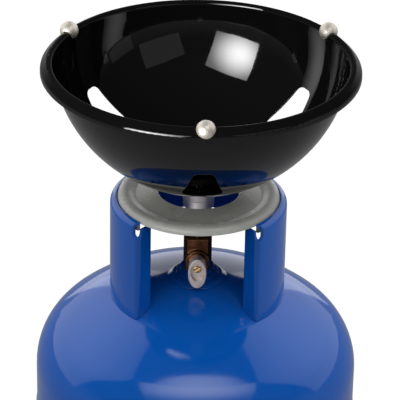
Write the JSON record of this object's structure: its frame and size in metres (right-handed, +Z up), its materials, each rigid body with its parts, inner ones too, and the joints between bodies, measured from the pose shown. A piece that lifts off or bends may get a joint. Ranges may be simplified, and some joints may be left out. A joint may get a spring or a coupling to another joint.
{
  "type": "propane burner stand",
  "caption": "Enamelled burner bowl with rim balls, clamped on a gas burner that is screwed on the needle valve of a refillable steel cylinder with a collar guard.",
  "frame": {"origin": "centre of the foot ring on the floor, on the cylinder's axis", "axes": "+Z up along the cylinder's axis, -Y towards the front: control knob, front rim ball and the open front of the collar guard; +X to the right seen from the front"},
  "size_m": [0.3018, 0.3018, 0.4894],
  "materials": {
    "blue_paint": "gloss",
    "black_enamel": "gloss",
    "grey_plastic": "satin",
    "valve_brass": "dark, tarnished",
    "brass": "satin",
    "steel": "satin",
    "knob_metal": "satin",
    "nickel": "satin",
    "rubber": "matte",
    "cast_iron": "matte"
  },
  "bodies": {
    "cylinder": {"cylinder_top_shell": "blue_paint", "cylinder_bottom_shell": "blue_paint", "girth_weld": "blue_paint", "foot_ring": "blue_paint", "foot_weld": "blue_paint", "valve_bung": "blue_paint", "bung_weld": "blue_paint", "collar_guard": "blue_paint", "guard_welds": "blue_paint", "collar_ring": "grey_plastic", "valve_body": "valve_brass", "relief_valve_cap": "brass", "gland_packing": "rubber", "gland_nut": "brass"},
    "knob": {"valve_spindle": "steel", "control_knob": "knob_metal", "knob_screw": "brass"},
    "burner": {"tailpiece_seal": "rubber", "burner_tailpiece": "brass", "gas_jet": "brass", "mixing_tube": "steel", "bowl_clamp_nut": "nickel", "clamp_washer": "steel", "bowl": "black_enamel", "rim_ball_front": "steel", "rim_ball_left": "steel", "rim_ball_right": "steel", "ball_screws": "steel", "burner_base": "cast_iron", "burner_cap": "brass", "burner_cap_screw": "steel"},
    "union_nut": {"union_nut": "brass"}
  },
  "joints": [
    {"name": "knob_turn", "type": "hinge", "parent": "cylinder", "child": "knob", "pos_m": [0, -0.02, 0.28707], "axis": [0, -1, 0], "range_deg": [0, 450]},
    {"name": "burner_lift", "type": "slide", "parent": "cylinder", "child": "burner", "axis": [0, 0, 1], "range_m": [0, 0.08]},
    {"name": "union_nut_turn", "type": "hinge", "parent": "burner", "child": "union_nut", "pos_m": [0, 0, 0.31], "axis": [0, 0, 1], "continuous": true}
  ]
}
